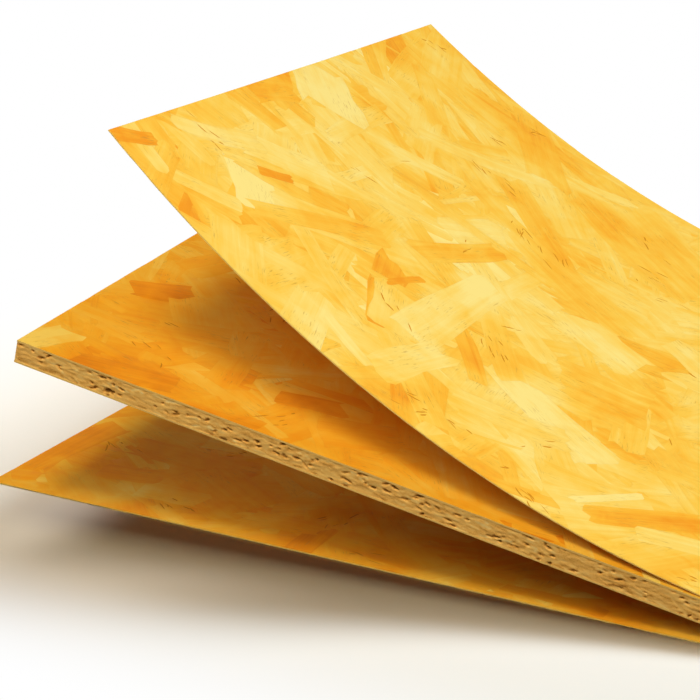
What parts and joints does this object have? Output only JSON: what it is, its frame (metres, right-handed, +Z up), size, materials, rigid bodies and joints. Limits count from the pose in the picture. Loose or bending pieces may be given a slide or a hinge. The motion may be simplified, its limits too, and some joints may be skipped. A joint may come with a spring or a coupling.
{
  "type": "stack of osb panels",
  "caption": "Fanned stack of wood strand panels: a thin sheet flat on the floor, a thick board rising from it, and a thin sheet curling up on top.",
  "frame": {"origin": "middle of the stack's box, on the floor under the bottom sheet", "axes": "+Z up; +X along the panels' length, towards the ends where the panels meet; +Y across the panels, towards the back"},
  "size_m": [0.6562, 0.6594, 0.3024],
  "materials": {
    "strand_sheet": "smooth pressed wood strands with a satin seal",
    "strand_board": "smooth pressed wood strands, with raw sawn edges"
  },
  "bodies": {
    "root": {"bottom_sheet": "strand_sheet", "core_board": "strand_board", "top_sheet": "strand_sheet"}
  },
  "joints": []
}
